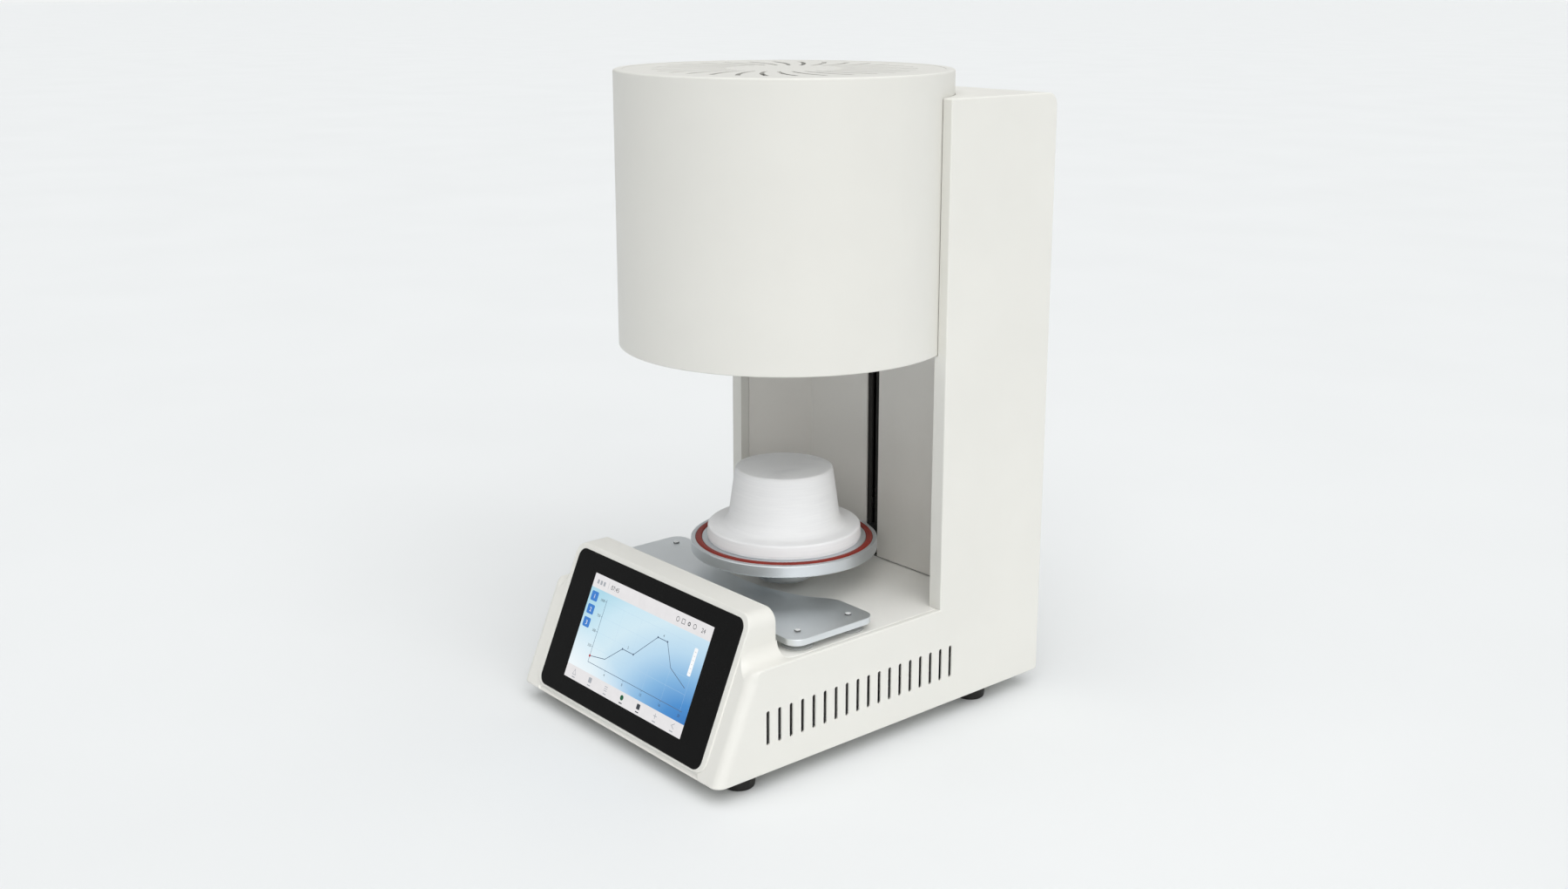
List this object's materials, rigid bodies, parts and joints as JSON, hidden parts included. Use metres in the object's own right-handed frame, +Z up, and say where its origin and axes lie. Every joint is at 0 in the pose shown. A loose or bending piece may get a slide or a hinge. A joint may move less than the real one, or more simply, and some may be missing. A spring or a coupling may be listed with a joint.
{
  "type": "dental furnace",
  "caption": "Bench porcelain furnace: fixed round heating head, rising firing plinth on a sealed lift disc, cooling tray and tilted touch display.",
  "frame": {"origin": "centre of the whole object's bounding box in plan, at the soles of the rubber feet", "axes": "+X to the right seen from the display side, +Y to the rear, +Z up; the lift moves along +Z"},
  "size_m": [0.2613, 0.356, 0.5112],
  "materials": {
    "casing": "fine-textured satin powder coat, warm off-white",
    "panel_grey": "satin warm grey-white paint",
    "screen": "gloss black cover glass with a lit display",
    "electronics": "solder-mask green board",
    "lcd": "display module",
    "aluminium": "machined and satin anodised",
    "steel": "ground steel",
    "black_steel": "black finish",
    "zinc": "bright zinc plate",
    "rubber_black": "moulded black rubber",
    "silicone_red": "brick-red silicone",
    "silicone_clear": "clear soft silicone",
    "ceramic_fibre": "vacuum-formed white ceramic fibre",
    "quartz": "clear fused quartz",
    "heating_wire": "oxidised resistance wire",
    "black_plastic": "black moulding",
    "brass": "plain brass",
    "wire_chrome": "bright wire"
  },
  "bodies": {
    "housing": {"back_frame": "black_steel", "base_deck": "casing", "board_standoffs": "brass", "bottom_cover": "zinc", "chamber_can": "steel", "chamber_flange": "aluminium", "connector_panel": "casing", "control_board": "electronics", "cooling_tray": "aluminium", "display_board": "electronics", "display_glass": "screen", "display_panel": "lcd", "display_retainer": "zinc", "fan_frame": "black_plastic", "fan_guard": "wire_chrome", "fasteners": "zinc", "guide_rods": "steel", "head_base_plate": "casing", "head_bracket": "black_steel", "head_shell": "casing", "head_vent": "casing", "heater_relay": "black_plastic", "heating_coil": "heating_wire", "inlet_pins": "brass", "insulation_rings": "ceramic_fibre", "insulation_top": "ceramic_fibre", "lift_motor": "black_steel", "limit_switches": "black_plastic", "lower_bearing_block": "aluminium", "main_housing": "casing", "mains_inlet": "black_plastic", "motor_bracket": "zinc", "power_supply": "zinc", "quartz_tube": "quartz", "rear_cover": "casing", "recess_panel": "panel_grey", "relay_heatsink": "aluminium", "rubber_feet": "rubber_black", "screw_bearings": "steel", "slot_seals": "rubber_black", "switch_frame": "black_plastic", "terminal_bushings": "ceramic_fibre", "thermocouple": "ceramic_fibre", "tray_cups": "silicone_clear", "upper_bearing_block": "aluminium", "vacuum_fitting": "brass", "vacuum_valve": "brass"},
    "lift": {"lift_disc": "aluminium", "seal_ring": "silicone_red", "firing_plinth": "ceramic_fibre", "lift_hub": "aluminium", "lift_arm": "black_steel", "lift_carriage": "aluminium", "lift_nut": "brass", "rod_bearings": "steel"},
    "lift_screw": {"lead_screw": "steel", "motor_shaft": "steel", "shaft_coupling": "aluminium"},
    "fan": {"fan_rotor": "black_plastic"},
    "rocker": {"switch_rocker": "black_plastic"}
  },
  "joints": [
    {"name": "lift_slide", "type": "slide", "parent": "housing", "child": "lift", "axis": [0, 0, 1], "range_m": [0, 0.162]},
    {"name": "screw_turn", "type": "hinge", "parent": "housing", "child": "lift_screw", "pos_m": [0, 0.12909, 0.194], "axis": [0, 0, 1], "continuous": true},
    {"name": "fan_spin", "type": "hinge", "parent": "housing", "child": "fan", "pos_m": [0, 0.15009, 0.416], "axis": [0, 1, 0], "continuous": true},
    {"name": "power_switch", "type": "hinge", "parent": "housing", "child": "rocker", "pos_m": [0.044, 0.16044, 0.052], "axis": [0, 0, 1], "range_deg": [-18, 0]}
  ],
  "couplings": [
    {"joint": "screw_turn", "follows": "lift_slide", "rad_per_m": 785.4}
  ]
}
